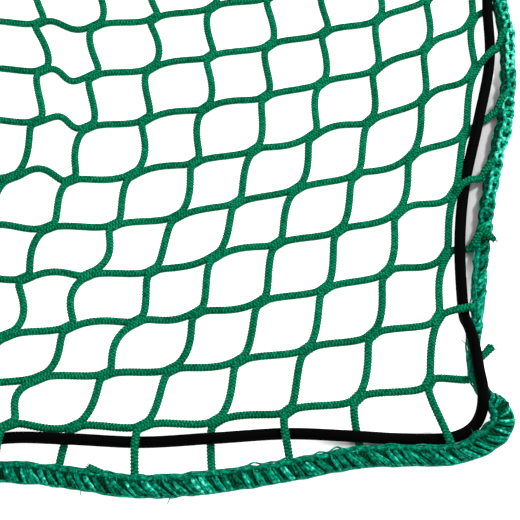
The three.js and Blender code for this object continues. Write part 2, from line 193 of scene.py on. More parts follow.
columns = np.arange(LAST_COLUMN + 1)
rows = np.arange(LAST_ROW + 1)
front_joints, back_joints = joint_place(columns, 0), joint_place(columns, LAST_ROW)
right_joints, left_joints = joint_place(0, rows), joint_place(LAST_COLUMN, rows)
front_feet, front_crossings, front_widths = outer_bars(FRONT_BARS, front_joints, -BACKWARDS, RIGHTWARDS)
right_feet, right_crossings, right_widths = outer_bars(RIGHT_BARS, right_joints, RIGHTWARDS, BACKWARDS)
back_feet, back_crossings, back_widths = outer_bars(PLAIN_BARS, back_joints, BACKWARDS, RIGHTWARDS)
left_feet, left_crossings, left_widths = outer_bars(PLAIN_BARS, left_joints, -RIGHTWARDS, BACKWARDS)


# The border's and the elastic's routes
# The border runs through the feet of all outer bars and the elastic through their crossings, both closed
# rings. At the front right-hand corner the border bulges, and the elastic cuts the corner and climbs over it.
ROUNDED_CORNER = 0.82  # a plain corner reaches this share of an outer bar's reach, both ways
BORDER_CORNER = np.array([  # from the corner joint: right, front, width
    (25.5, 45.5, 14.5),
    (38, 39.3, 15.5),
    (45.5, 32, 17),
    (48.2, 26, 18),
    (47.6, 20, 17),
    (43.6, 12.8, 14),
    (38.6, 7.2, 12),
    (35.4, 1, 11.5),
    (33, -7, 11.5),
    (32.5, -21, 11.5),
    (33.2, -34, 11.5),
    (36.7, -47, 9.4),
])
ELASTIC_CORNER = np.array([  # from the corner joint: right, front, height
    (-20, 37.8, 5.5),
    (11, 37, 4.2),
    (22, 33.8, 4.5),
    (29.5, 28.5, 5),
    (33.8, 21, 8.2),
    (35.1, 12, 13.3),
    (35, 3, 14),
    (33.6, -8, 13.8),
    (32.6, -19, 13.6),
    (31.1, -30, 13.7),
    (28.8, -40, 12.8),
    (27.6, -47, 7.2),
])
TWINE = 5.2
ELASTIC = 8.0
AIR = 0.3  # gap between pieces
ELASTIC_OVER = TWINE + AIR + ELASTIC / 2  # height of its middle where it passes over a bar
ELASTIC_UNDER = ELASTIC / 2 + AIR / 2


def plain_corner(column, row, outwards):
    """A point beyond a corner joint, off by the same distance along and across."""
    rightwards = 1 if column == 0 else -1
    backwards = -1 if row == 0 else 1
    return joint_place(column, row) + outwards * ROUNDED_CORNER * np.array([rightwards, backwards])


def with_third(places, third):
    """Floor places with a third value beside each."""
    places = np.atleast_2d(places)
    return np.column_stack([places, np.broadcast_to(third, len(places))])


corner_joint = joint_place(0, 0)
plain_reach, _, plain_share, plain_width = PLAIN_BARS[0]
border_stations = np.concatenate([
    with_third(front_feet, front_widths)[::-1],
    with_third(corner_joint + BORDER_CORNER[:, :2] * (1, -1), BORDER_CORNER[:, 2]),
    with_third(right_feet, right_widths)[1:],
    with_third(plain_corner(0, LAST_ROW, plain_reach), plain_width),
    with_third(back_feet, back_widths),
    with_third(plain_corner(LAST_COLUMN, LAST_ROW, plain_reach), plain_width),
    with_third(left_feet, left_widths)[::-1],
    with_third(plain_corner(LAST_COLUMN, 0, plain_reach), plain_width),
])
over_odd_columns = np.where(columns % 2 == 1, ELASTIC_OVER, ELASTIC_UNDER)
over_even_rows = np.where(rows % 2 == 0, ELASTIC_OVER, ELASTIC_UNDER)
turn_height = (ELASTIC_OVER + ELASTIC_UNDER) / 2
turn_reach = plain_reach * plain_share
elastic_stations = np.concatenate([
    with_third(front_crossings, over_odd_columns)[:0:-1],
    with_third(corner_joint + ELASTIC_CORNER[:, :2] * (1, -1), ELASTIC_CORNER[:, 2]),
    with_third(right_crossings, over_even_rows)[1:],
    with_third(plain_corner(0, LAST_ROW, turn_reach), turn_height),
    with_third(back_crossings, over_odd_columns),
    with_third(plain_corner(LAST_COLUMN, LAST_ROW, turn_reach), turn_height),
    with_third(left_crossings, over_even_rows)[::-1],
    with_third(plain_corner(LAST_COLUMN, 0, turn_reach), turn_height),
])


def along(path):
    """Distance along a path at each of its points."""
    return np.append(0, np.cumsum(np.linalg.norm(np.diff(path, axis=0), axis=1)))


def hermite(start, leaving, end, arriving, way):
    """Cubic curves from start to end with the given pulls there, at each share of the way. The result is
    (curve, way, axis)."""
    way = way[:, None]
    start, leaving, end, arriving = (value[:, None, :] for value in (start, leaving, end, arriving))
    return (
        (2 * way**3 - 3 * way**2 + 1) * start
        + (way**3 - 2 * way**2 + way) * leaving
        + (3 * way**2 - 2 * way**3) * end
        + (way**3 - way**2) * arriving
    )


def smooth_ring(stations, steps):
    """A closed curve through stations: cubic curves whose pulls come from the stations on both sides, each
    weighed by the root of its distance, with this many steps a station."""
    before, start, end, after = (np.roll(stations, places, axis=0) for places in (1, 0, -1, -2))

    def stretch(first, second):
        return np.sqrt(np.linalg.norm(second - first, axis=1))[:, None]

    left, middle, right = stretch(before, start), stretch(start, end), stretch(end, after)
    leaving = (start - before) / left - (end - before) / (left + middle) + (end - start) / middle
    arriving = (end - start) / middle - (after - start) / (middle + right) + (after - end) / right
    way = np.arange(steps) / steps
    return hermite(start, leaving * middle, end, arriving * middle, way).reshape(-1, 3)


# The layout's place in the frame: the border's outermost points lie on the box of its solid
ahead, behind = np.roll(border_stations, -1, axis=0), np.roll(border_stations, 1, axis=0)
outwards = unit(np.stack([ahead[:, 1] - behind[:, 1], behind[:, 0] - ahead[:, 0]], -1))
outer_edge = border_stations[:, :2] + outwards * border_stations[:, 2:] / 2
border_low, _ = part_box("border")
MILLIMETRE = 0.001
shift = np.append(np.array(border_low)[:2] - outer_edge.min(0) * MILLIMETRE, 0.0)

# The border's middle line and width along it, with small bulges
BORDER_FLATNESS = 0.8  # height of the border as a share of its width
BULGES = ((31, 0.4), (19, 0.35), (12, 0.3))  # length and height of three kinds
STATION_STEPS = 90  # points of the line from station to station
route = smooth_ring(border_stations, STATION_STEPS)
route = np.concatenate([route, route[:1]])
route_at = along(route[:, :2])
BORDER_LENGTH = route_at[-1]
for bulge_length, bulge in BULGES:
    bulge_count = round(BORDER_LENGTH / bulge_length)
    route[:, 2] += bulge * np.sin(2 * np.pi * bulge_count * route_at / BORDER_LENGTH)
lapped_route = np.concatenate([route[-3:-1], route, route[1:3]])[:, :2]
route_ahead = unit(np.gradient(lapped_route, axis=0)[2:-2])


def border_place(at, turn, inset=0.0):
    """A point inset from the border's oval section: at is the distance along the border and turn the angle
    round the section in radians, 0 outwards and a quarter turn upwards. Returns the point and the way
    straight out of it."""
    at, turn = np.broadcast_arrays(at % BORDER_LENGTH, turn)
    middle = np.stack([np.interp(at, route_at, route[:, axis]) for axis in range(2)], -1)
    half = np.interp(at, route_at, route[:, 2]) / 2
    ahead = unit(np.stack([np.interp(at, route_at, route_ahead[:, axis]) for axis in range(2)], -1))
    outward = np.stack([ahead[..., 1], -ahead[..., 0]], -1)
    high = half * BORDER_FLATNESS
    out = (half - inset) * np.cos(turn)
    up = (high - inset) * np.sin(turn)
    point = np.concatenate([middle + out[..., None] * outward, (high + up)[..., None]], -1)
    normal = np.concatenate([np.cos(turn)[..., None] * outward, np.sin(turn)[..., None]], -1)
    return point, normal


SIDES_BEGIN = 95.0  # the sides' style begins this far behind the front corner joint
SIDES_GROW = 35.0  # and is whole this much further on
SIDES_FACE = 0.55  # it begins where the border's outward way points to the right or left by this share
FACE_GROW = 0.4  # and is whole this much further round


def side_style(at):
    """How much a place on the border belongs to one of the two sides, where the stitches' loops lie on top
    and the ridge is bare: 0 on the front and back edges and at the front corners, 1 on the sides. It is a
    smooth step of the border's turn times an even one of the distance to the back."""
    point, normal = border_place(at, np.zeros_like(at))
    turned = np.clip((np.abs(normal[..., 0]) - SIDES_FACE) / FACE_GROW, 0, 1)
    begun = np.clip((point[..., 1] - corner_joint[1] - SIDES_BEGIN) / SIDES_GROW, 0, 1)
    return begun * turned * turned * (3 - 2 * turned)


# Netting twine
# Each strand is one braided polypropylene twine, 5.2 mm thick, that climbs through the net like a stair from
# its front or left-hand edge to its right-hand or back edge. At a joint two strands run side by side,
# stitched into each other, so a mesh is six-sided with two rounded corners.
JOINT_HALF = 3.2  # half the run side by side
ROW_WEIGHT = 1.9  # a joint follows its row this many times as much as its column
EDGE_LOSS = 1.4  # but less at the right-hand edge by this much
LOSS_SHARE = 0.5  # and at each column inwards by this share of that
BESIDE = 1.4  # each strand's distance from the middle of the joint
ROW_SWING = 25.0  # how strongly a bar keeps the direction of the joint that it leaves: bars along a row
COLUMN_SWING = 20.0  # and along a column
UNEVEN_SWING = 4.0  # more or less from bar to bar
LOOSE_BARS = {  # slack bars swing this much more: to the right of these joints, by column and row
    (8, 4): 10, (8, 5): 10, (8, 6): 32, (8, 7): 30, (8, 8): 20,
    (1, 2): 14, (1, 3): 28, (1, 4): 6, (1, 5): 30, (1, 6): 20,
}
# Bars bow aside between their joints, along a column in turn to the right and to the left. One line a column
# from the right: bow of all its bars to the right, and of every second bar to the right and the others to
# the left.
COLUMN_BOW = np.array([
    (-1.4, 0), (2, 0), (0.5, 0.8), (0, 2), (0, 1.6), (0, 2.6), (0, 4.2), (0, 3.6), (0, 3),
])
SLACK_COLUMN_BARS = {  # bars that bow further to the right, by the column and row of their front joint
    (0, 1): -1, (0, 3): 1.4, (1, 5): -1.8, (2, 2): 1.3, (3, 1): 3, (3, 2): -2.5,
    (4, 0): 2.6, (4, 1): 1.8, (4, 2): 1.4, (4, 6): 1.4, (5, 1): -3, (5, 2): -2, (5, 3): 2.4,
    (6, 0): -2.6, (6, 1): -1.5, (6, 2): -1.4, (6, 3): 1.8, (6, 4): 2.8, (6, 6): 3,
    (7, 2): 1.7, (7, 4): -5, (7, 6): -2.6, (7, 7): 1.4, (8, 6): 2.8,
}
SLACK_ROW_BARS = {  # bars that bow to the front, by the column and row of their left-hand joint
    (1, 2): 2.2, (2, 3): 1.3, (2, 4): 2.8, (2, 6): -1.9, (3, 0): -1.2, (3, 5): -3,
    (4, 1): 1.5, (4, 2): 1.9, (4, 3): -2, (4, 5): 2.5, (5, 2): 2.3, (5, 3): 1.9, (5, 4): -1, (5, 6): -1.6,
    (6, 0): 1.5, (6, 2): -2.4, (6, 5): -2, (6, 6): -2.2, (6, 7): -1.6,
    (7, 3): -3.8, (7, 5): 1.6, (8, 5): -8, (8, 6): -5.5, (8, 7): 5, (8, 8): 2.5,
}
STITCH = 2.2  # length of one braid stitch
FINE_STEP = 0.58  # from ring to ring of a tube near the corner that is seen close up
PLAIN_STEP = 3.0  # and elsewhere
CLOSE_UP = (-192, 192, -232, 228)  # the floor that is seen close up: left, right, front, back
CLOSE_UP_FADE = 30.0  # the rings move apart over this distance round it
FINE_SIDES = 12  # sides of the tubes of the strands that pass through it
PLAIN_SIDES = 7
LAST_CLOSE_STRAND = 16  # the last of those strands, counted from the front right-hand corner
SAME_POINT = 1e-6  # points of a path that are closer than this count as one
RELIEF = 0.22  # depth of the braid's grooves as a share of the twine's radius
GROOVES = 0.3  # share of the relief that lies below the twine's own radius
ON_FLOOR = TWINE / 2 * (1 + RELIEF * (1 - GROOVES))  # height of a strand's middle on the floor
DIAMONDS = 3  # stitches round the twine, in two staggered rows
STRAND_TONE_TURN = 2.4  # the dye goes lighter and darker at this turn a strand
BAR_POINTS = 120  # points of the path of a bar between two joints

# The net lies in low waves, and its edge is lifted where the outer bars climb over the elastic
WAVES = 0.7  # the waves' greatest height
FRONT_LIFT = (2.6, 0.9)  # a front joint's lift where its bar goes over the elastic, and where it goes under
RIGHT_LIFT = (2.4, 0.8)  # and a right-hand joint's
LIFT_FADE = 1.4  # how fast the lift dies down from line to line inwards
CORNER_LIFT = 2.4
CORNER_FADE = 0.5

# An outer bar's way to the border
OUTER_POINTS = 160  # points of its path
FOOT_PULL = 14.0  # how strongly it keeps its direction at its joint and at its foot
RIGHT_FOOT_PULL = (8.0, 12.0)  # and at a foot in the right-hand edge, to the right and to the back
UNDER_FLAT = 5.0  # under the elastic it lies on the floor this far before and after the crossing
OVER_ELASTIC = ELASTIC + AIR + TWINE / 2 + AIR / 2  # height of its middle where it goes over the elastic
HUMP_START = 9.0  # there it begins to climb this far before the crossing
HUMP_LEAD = 2.0  # already this much above its joint
HUMP_TOP = 4.5  # and is level this far before and after the crossing
HEIGHT_WINDOW = 15  # points over which the heights are evened out
INTO_BORDER = 5.0  # height of its middle where it runs into the border
SUNK_BEFORE = 5.0  # a bar over the elastic is down at that height this far before its foot

# The right-hand bars of some rows turn and run on along the border's inner side
TURNED_ROWS = range(2, 6)
TAIL_LEAD = 4.0  # they meet it this far before the middle of their foot
TAIL = 9.0  # and end this far behind it
TAIL_TURN = (2.9, 1.75)  # place of a turned end round the border's section, where it meets it and at its end
TAIL_PULL = 9.0  # how strongly it keeps its direction where it meets the border
TAIL_POINTS = 40
TAIL_AHEAD = 4  # that direction is the way to this point
TAIL_PROUD = 1.2  # its middle stands this far out of the border
TAIL_SINKS = 26  # up to this point, and then sinks in

swing_dice = np.random.default_rng(7)
row_uneven = swing_dice.uniform(-UNEVEN_SWING, UNEVEN_SWING, (LAST_COLUMN + 1, LAST_ROW + 1))
column_uneven = swing_dice.uniform(-UNEVEN_SWING, UNEVEN_SWING, (LAST_COLUMN + 1, LAST_ROW + 1))
for loose_bar, more in LOOSE_BARS.items():
    row_uneven[loose_bar] += more
bar_column, bar_row = np.indices(row_uneven.shape)
bow_right, bow_in_turn = line_of(COLUMN_BOW, bar_column)
column_bow = bow_right + np.where((bar_column + bar_row) % 2 == 1, bow_in_turn, -bow_in_turn)
row_bow = np.zeros(row_uneven.shape)
for slack_bar, more in SLACK_COLUMN_BARS.items():
    column_bow[slack_bar] += more
for slack_bar, more in SLACK_ROW_BARS.items():
    row_bow[slack_bar] += more


def joint_lift(column, row):
    """Height of the strands' middle at a joint: on the floor, plus low waves that are two crossed sines, plus
    a lift beside the elastic and at the corner that dies down inwards."""
    waves = 0.5 + 0.5 * np.sin(1.3 * column + 0.7 * row) * np.sin(0.9 * row - 0.5 * column + 1)
    front = np.where(column % 2 == 0, *FRONT_LIFT) * np.exp(-LIFT_FADE * row)
    right = np.where(row % 2 == 1, *RIGHT_LIFT) * np.exp(-LIFT_FADE * column)
    corner = CORNER_LIFT * np.exp(-CORNER_FADE * (column**2 + row**2))
    return ON_FLOOR + WAVES * waves + front + right + corner


def stitches(run, turn):
    """Height of the braid, 0 in its grooves and 1 on its stitches: half the difference of a wave round the
    twine and one along it, which gives small diamonds between the two ways of the braid. run counts stitches
    along the twine and turn goes once round it from 0 to 1."""
    return np.abs(np.cos(2 * np.pi * DIAMONDS * turn) - np.cos(2 * np.pi * run)) / 2


def smoothed(values, window):
    """Moving mean over a window of samples, with the ends held."""
    half = window // 2
    padded = np.pad(values, (half, half), mode="edge")
    return np.convolve(padded, np.ones(2 * half + 1) / (2 * half + 1), mode="valid")


def strand_joints(strand):
    """Columns, rows and sides of the joints that a strand passes: it steps to the right and to the back in
    turn. The side is 1 where it comes from the left and leaves to the back, and -1 at the joints between."""
    step = np.arange(2 * (LAST_COLUMN + LAST_ROW))
    if strand < LAST_COLUMN:
        column, row = strand + 1 - (step + 1) // 2, step // 2
        side = np.where(step % 2 == 0, -1, 1)
    else:
        column, row = LAST_COLUMN - step // 2, strand - LAST_COLUMN + (step + 1) // 2
        side = np.where(step % 2 == 0, 1, -1)
    inside = (column >= 0) & (row <= LAST_ROW)
    return column[inside], row[inside], side[inside]


def outer_bar_path(start, leaving, foot, crossing, arriving, start_height, elastic_over):
    """An outer bar from its joint to its foot in the border: a cubic curve on the floor, flat under the
    elastic or humped over it, then rising or falling into the border."""
    way = np.linspace(0, 1, OUTER_POINTS)
    floor = hermite(start[None], leaving[None], foot[None], arriving[None], way)[0]
    distance = along(floor)
    crossed = distance[np.argmin(np.linalg.norm(floor - crossing, axis=1))]
    slant = np.linalg.norm(foot - start) / np.abs(foot - start).max()
    if elastic_over:
        knots = (0, crossed - UNDER_FLAT * slant, crossed + UNDER_FLAT * slant, distance[-1])
        heights = (start_height, ON_FLOOR, ON_FLOOR, INTO_BORDER)
    else:
        climbing, top = crossed - HUMP_START * slant, HUMP_TOP * slant
        knots = (0, climbing, crossed - top, crossed + top, distance[-1] - SUNK_BEFORE, distance[-1])
        lead = start_height + HUMP_LEAD
        heights = (start_height, lead, OVER_ELASTIC, OVER_ELASTIC, INTO_BORDER, INTO_BORDER)
    knots = np.maximum.accumulate(np.maximum(knots, 0))
    return np.column_stack([floor, smoothed(np.interp(distance, knots, heights), HEIGHT_WINDOW)])


def turned_tail(row):
    """The turned end of a right-hand bar: a line along the border that moves round its section as it goes,
    first proud of it and then sinking in."""
    station = len(front_feet) + len(BORDER_CORNER) + row - 1
    tail_at = route_at[STATION_STEPS * station] + np.linspace(-TAIL_LEAD, TAIL, TAIL_POINTS)
    knots, depths = (0, TAIL_SINKS, TAIL_POINTS - 1), (-TAIL_PROUD, -TAIL_PROUD, TWINE / 2)
    sunk = np.interp(np.arange(TAIL_POINTS), knots, depths)
    return border_place(tail_at, np.linspace(*TAIL_TURN, TAIL_POINTS), sunk)[0]


def strand_path(strand):
    """The middle line of a strand from one foot to the other: straight side by side at the joints, and
    between them cubic curves that leave and arrive along the joints, plus their bow aside."""
    column, row, side = strand_joints(strand)
    place = joint_place(column, row)
    row_way = unit(joint_place(column - 1, row) - joint_place(column + 1, row))
    column_way = unit(joint_place(column, row + 1) - joint_place(column, row - 1))
    weight = (ROW_WEIGHT - EDGE_LOSS * LOSS_SHARE**column)[:, None]
    run = unit(weight * row_way + column_way)
    place = place + (BESIDE * side)[:, None] * np.stack([-run[:, 1], run[:, 0]], -1)
    near, far = place - JOINT_HALF * run, place + JOINT_HALF * run
    lift = joint_lift(column, row)
    row_swing, column_swing = ROW_SWING + row_uneven[column, row], COLUMN_SWING + column_uneven[column, row]
    swing = np.where(side < 0, row_swing, column_swing)[:-1, None]
    way = np.linspace(0, 1, BAR_POINTS)
    floor = hermite(far[:-1], swing * run[:-1], near[1:], swing * run[1:], way)
    chord = unit(near[1:] - far[:-1])
    furthest = np.where(side < 0, row_bow[column, row], column_bow[column, row])[:-1, None]
    bow = furthest * (4 * way * (1 - way)) ** 2
    floor = floor + bow[..., None] * np.stack([chord[:, 1], -chord[:, 0]], -1)[:, None]
    ease = 3 * way**2 - 2 * way**3
    height = lift[:-1, None] + (lift[1:] - lift[:-1])[:, None] * ease
    bars = np.concatenate([floor, height[..., None]], -1).reshape(-1, 3)

    if side[0] < 0:
        foot, crossing, over = front_feet[column[0]], front_crossings[column[0]], column[0] % 2 == 1
        arriving = -FOOT_PULL * BACKWARDS
    else:
        foot, crossing, over = left_feet[row[0]], left_crossings[row[0]], row[0] % 2 == 0
        arriving = -FOOT_PULL * RIGHTWARDS
    first = outer_bar_path(near[0], -FOOT_PULL * run[0], foot, crossing, arriving, lift[0], over)
    if side[-1] < 0:
        foot, crossing, over = right_feet[row[-1]], right_crossings[row[-1]], row[-1] % 2 == 0
        arriving = np.array(RIGHT_FOOT_PULL)
    else:
        foot, crossing, over = back_feet[column[-1]], back_crossings[column[-1]], column[-1] % 2 == 1
        arriving = FOOT_PULL * BACKWARDS
    tail = np.zeros((0, 3))
    if side[-1] < 0 and row[-1] in TURNED_ROWS:
        tail = turned_tail(row[-1])
        foot, arriving = tail[0, :2], TAIL_PULL * unit(tail[TAIL_AHEAD, :2] - tail[0, :2])
    last = outer_bar_path(far[-1], FOOT_PULL * run[-1], foot, crossing, arriving, lift[-1], over)
    return np.concatenate([first[::-1], bars, last, tail[1:]])


def even_rings(path, step_at):
    """The path's points moved to the rings of a tube, step_at apart, which may change along the path."""
    distance = along(path)
    keep = np.append(True, np.diff(distance) > SAME_POINT)
    path, distance = path[keep], distance[keep]
    count = np.append(0, np.cumsum(np.diff(distance) / step_at(path)[1:]))
    rings = np.linspace(0, count[-1], int(count[-1]) + 2)
    at = np.interp(rings, count, distance)
    return np.stack([np.interp(at, distance, path[:, axis]) for axis in range(3)], -1), at


def close_up_step(path):
    """Ring spacing: fine in the close-up, growing evenly to plain outside it."""
    left, right, front, back = CLOSE_UP
    x, y = path[:, 0], path[:, 1]
    outside = np.maximum.reduce([left - x, x - right, front - y, y - back])
    return FINE_STEP + (PLAIN_STEP - FINE_STEP) * np.clip(outside / CLOSE_UP_FADE, 0, 1)


def carried(path, lean, half_side, half_up, sides, run, ring=False, tone=0.5):
    """Profiles carried along paths: at each ring of a path the point at turn a is path + half_side cos(a) to
    the side + half_up sin(a) towards lean. path is (paths, rings, 3), and run is the distance along that the
    UV map gets. Returns points, the faces' corners and sizes, each corner's UV, and each point's tone."""
    paths, rings = path.shape[:2]
    if ring:
        ahead = np.roll(path, -1, axis=1) - np.roll(path, 1, axis=1)
    else:
        ahead = np.gradient(path, axis=1)
    ahead = unit(ahead)
    side = unit(np.cross(ahead, np.broadcast_to(lean, path.shape)))
    up = np.cross(side, ahead)
    turn = np.arange(sides) / sides
    shape = (paths, rings, sides)
    out_side = np.broadcast_to(half_side, shape) * np.cos(2 * np.pi * turn)
    out_up = np.broadcast_to(half_up, shape) * np.sin(2 * np.pi * turn)
    points = path[:, :, None] + side[:, :, None] * out_side[..., None] + up[:, :, None] * out_up[..., None]

    number = np.arange(paths * rings * sides).reshape(shape)
    spans = rings if ring else rings - 1
    here = number[:, :spans]
    there = np.roll(number, -1, axis=1)[:, :spans]
    quads = np.stack([here, there, np.roll(there, -1, axis=2), np.roll(here, -1, axis=2)], -1)
    run = np.broadcast_to(run, (paths, rings))
    run_next = np.roll(run, -1, axis=1)
    if ring:
        run_next = np.concatenate([run_next[:, :-1], 2 * run[:, -1:] - run[:, -2:-1]], 1)
    run, run_next = run[:, :spans, None], run_next[:, :spans, None]
    run, run_next = (np.broadcast_to(value, here.shape) for value in (run, run_next))
    low, high = np.broadcast_to(turn, here.shape), np.broadcast_to(turn + 1 / sides, here.shape)
    quad_uv = np.stack([run, low, run_next, low, run_next, high, run, high], -1).reshape(-1, 2)
    corners, sizes, uv = quads.ravel(), np.full(quads.size // 4, 4), quad_uv
    if not ring:
        caps = np.concatenate([number[:, 0], number[:, -1, ::-1]])
        corners = np.append(corners, caps.ravel())
        sizes = np.append(sizes, np.full(len(caps), sides))
        uv = np.concatenate([uv, np.zeros((caps.size, 2))])
    tone = np.broadcast_to(np.reshape(tone, np.shape(tone) + (1,) * (3 - np.ndim(tone))), shape)
    return points.reshape(-1, 3), corners, sizes, uv, tone.ravel()


def joined(surfaces):
    """Several surfaces as one, with the points stacked and the corners renumbered."""
    starts = np.cumsum([0] + [len(surface[0]) for surface in surfaces[:-1]])
    points, corners, sizes, uv, tone = zip(*surfaces)
    corners = [own + start for own, start in zip(corners, starts)]
    return tuple(np.concatenate(values) for values in (points, corners, sizes, uv, tone))


def new_piece(name, surface, material):
    """A mesh of a surface, in metres in the frame, that rides on the net's body."""
    points, corners, sizes, uv, tone = surface
    mesh = bpy.data.meshes.new(name)
    mesh.vertices.add(len(points))
    mesh.vertices.foreach_set("co", (points * MILLIMETRE + shift).ravel())
    mesh.loops.add(len(corners))
    mesh.loops.foreach_set("vertex_index", corners)
    mesh.polygons.add(len(sizes))
    mesh.polygons.foreach_set("loop_start", np.cumsum(sizes) - sizes)
    mesh.polygons.foreach_set("use_smooth", np.ones(len(sizes), bool))
    mesh.uv_layers.new(name="lay").data.foreach_set("uv", uv.ravel())
    mesh.attributes.new("tone", "FLOAT", "POINT").data.foreach_set("value", tone)
    mesh.update(calc_edges=True)
    mesh.materials.append(material)
    piece = bpy.data.objects.new(name, mesh)
    bpy.context.scene.collection.objects.link(piece)
    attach(piece, "root")
    return piece


def strand_surface(strand):
    """A strand as a tube with the braid's relief, which fades where the rings are too far apart for it."""
    path, at = even_rings(strand_path(strand), close_up_step)
    sides = FINE_SIDES if strand <= LAST_CLOSE_STRAND else PLAIN_SIDES
    run = at / STITCH
    turn = np.arange(sides) / sides
    step = np.gradient(at)
    depth = RELIEF * np.clip(2 - step / (2 * FINE_STEP), 0, 1)[:, None]
    radius = TWINE / 2 * (1 + depth * (stitches(run[:, None], turn) - GROOVES))
    tone = 0.5 + 0.5 * math.sin(STRAND_TONE_TURN * strand)
    return carried(path[None], (0, 0, 1), radius[None], radius[None], sides, run, tone=tone)


class Nodes:
    """A material's node tree, with short calls for the nodes that the finishes share."""

    def __init__(self, name):
        self.material = bpy.data.materials.new(name)
        self.material.use_nodes = True
        self.tree = self.material.node_tree
        self.shader = self.tree.nodes["Principled BSDF"]

    def add(self, kind, values=(), **settings):
        node = self.tree.nodes.new(kind)
        for name, value in settings.items():
            setattr(node, name, value)
        for socket, value in enumerate(values):
            self.put(node.inputs[socket], value)
        return node

    def put(self, socket, value):
        if isinstance(value, bpy.types.NodeSocket):
            self.tree.links.new(value, socket)
        elif value is not None:
            socket.default_value = value

    def maths(self, operation, *values):
        return self.add("ShaderNodeMath", values, operation=operation).outputs[0]

    def ramp(self, factor, *stops):
        node = self.add("ShaderNodeValToRGB", [factor])
        elements = node.color_ramp.elements
        while len(elements) < len(stops):
            elements.new(0.5)
        for element, (place, colour) in zip(elements, stops):
            element.position = place
            element.color = (*colour, 1)
        return node.outputs["Color"]

    def noise(self, vector, scale, detail=2.0):
        node = self.add("ShaderNodeTexNoise")
        self.put(node.inputs["Vector"], vector)
        node.inputs["Scale"].default_value = scale
        node.inputs["Detail"].default_value = detail
        return node.outputs["Fac"]

    def object_place(self):
        return self.add("ShaderNodeTexCoord").outputs["Object"]

    def lay(self):
        uv = self.add("ShaderNodeUVMap", uv_map="lay").outputs["UV"]
        return uv, *self.add("ShaderNodeSeparateXYZ", [uv]).outputs[:2]

    def tone(self):
        return self.add("ShaderNodeAttribute", attribute_name="tone").outputs["Fac"]

    def scaled(self, colour, factor):
        node = self.add("ShaderNodeVectorMath", operation="SCALE")
        self.put(node.inputs[0], colour)
        self.put(node.inputs["Scale"], factor)
        return node.outputs["Vector"]

    def finish(self, colour, height, bump_depth, bump_strength, roughness, specular):
        bump = self.add("ShaderNodeBump")
        bump.inputs["Distance"].default_value = bump_depth
        bump.inputs["Strength"].default_value = bump_strength
        self.put(bump.inputs["Height"], height)
        self.put(self.shader.inputs["Normal"], bump.outputs["Normal"])
        self.put(self.shader.inputs["Base Color"], colour)
        self.put(self.shader.inputs["Roughness"], roughness)
        self.put(self.shader.inputs["Specular IOR Level"], specular)
        return self.material


def braided_twine():
    """Green braided polypropylene: small diamond stitches, darker in the grooves as painted shade, with a
    speckle from fibre to fibre and broad patches where the dye took more or less."""
    nodes = Nodes("braided_twine")
    _, run, turn = nodes.lay()
    round_wave = nodes.maths("COSINE", nodes.maths("MULTIPLY", turn, 2 * math.pi * DIAMONDS))
    along_wave = nodes.maths("COSINE", nodes.maths("MULTIPLY", run, 2 * math.pi))
    height = nodes.maths("ABSOLUTE", nodes.maths("SUBTRACT", round_wave, along_wave))
    place = nodes.object_place()
    speckle = nodes.noise(place, scale=560.0)
    patches = nodes.noise(place, scale=14.0)
    # The colour rises with the braid's height: painted shade in the grooves
    colour = nodes.ramp(
        nodes.maths("MULTIPLY_ADD", speckle, 1.2, nodes.maths("MULTIPLY", height, 0.25)),
        (0.5, (0.0, 0.055, 0.02)),
        (0.8, (0.0, 0.118, 0.051)),
        (1.0, (0.004, 0.225, 0.11)),
    )
    patchy = nodes.maths("MULTIPLY_ADD", patches, 0.5, 0.65)
    toned = nodes.maths("MULTIPLY_ADD", nodes.tone(), 0.12, patchy)
    return nodes.finish(
        nodes.scaled(colour, toned),
        height,
        bump_depth=0.0005,
        bump_strength=0.5,
        roughness=0.6,
        specular=0.005,
    )


twine_material = braided_twine()

# The strands in four groups from the front right-hand corner backwards, so that no mesh grows too large
STRAND_GROUPS = {
    "net_strands_corner": range(-1, 8),
    "net_strands_next": range(8, 17),
    "net_strands_middle": range(17, 30),
    "net_strands_back": range(30, 51),
}
for name, group in STRAND_GROUPS.items():
    surface = joined([strand_surface(strand) for strand in group])
    piece = new_piece(name, surface, twine_material)
    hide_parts("net")


# Elastic cord
# One ring of 8 mm elastic, a rubber core in a tight black braided cover. It is threaded over and under the
# outer bars all round the net, and only the bars hold it.
ELASTIC_POINTS = 24  # points of its line from bar to bar
ELASTIC_STEP = 2.2  # from ring to ring of its mesh
ELASTIC_SIDES = 14
ELASTIC_STITCH = 1.3  # length of one stitch of the cover
COVER_STITCHES = 16  # stitches round it


def elastic_cover():
    """Black braided cover that swallows nearly all light: small diamonds where the two ways of the braid
    cross, each way a sine that runs aslant round the cord."""
    nodes = Nodes("elastic_cover")
    _, run, turn = nodes.lay()
    ahead = nodes.maths("MULTIPLY", run, math.pi)
    first = nodes.maths("SINE", nodes.maths("MULTIPLY_ADD", turn, COVER_STITCHES * math.pi, ahead))
    second = nodes.maths("SINE", nodes.maths("MULTIPLY_ADD", turn, -COVER_STITCHES * math.pi, ahead))
    weave = nodes.maths("MULTIPLY_ADD", nodes.maths("MULTIPLY", first, second), 0.5, 0.5)
    fuzz = nodes.noise(nodes.object_place(), scale=1500.0)
    colour = nodes.ramp(
        nodes.maths("MULTIPLY_ADD", fuzz, 0.5, nodes.maths("MULTIPLY", weave, 0.5)),
        (0.2, (0.0002, 0.0002, 0.0002)),
        (1.0, (0.0016, 0.0016, 0.0017)),
    )
    return nodes.finish(
        colour, weave, bump_depth=0.0003, bump_strength=0.4, roughness=0.75, specular=0.02
    )


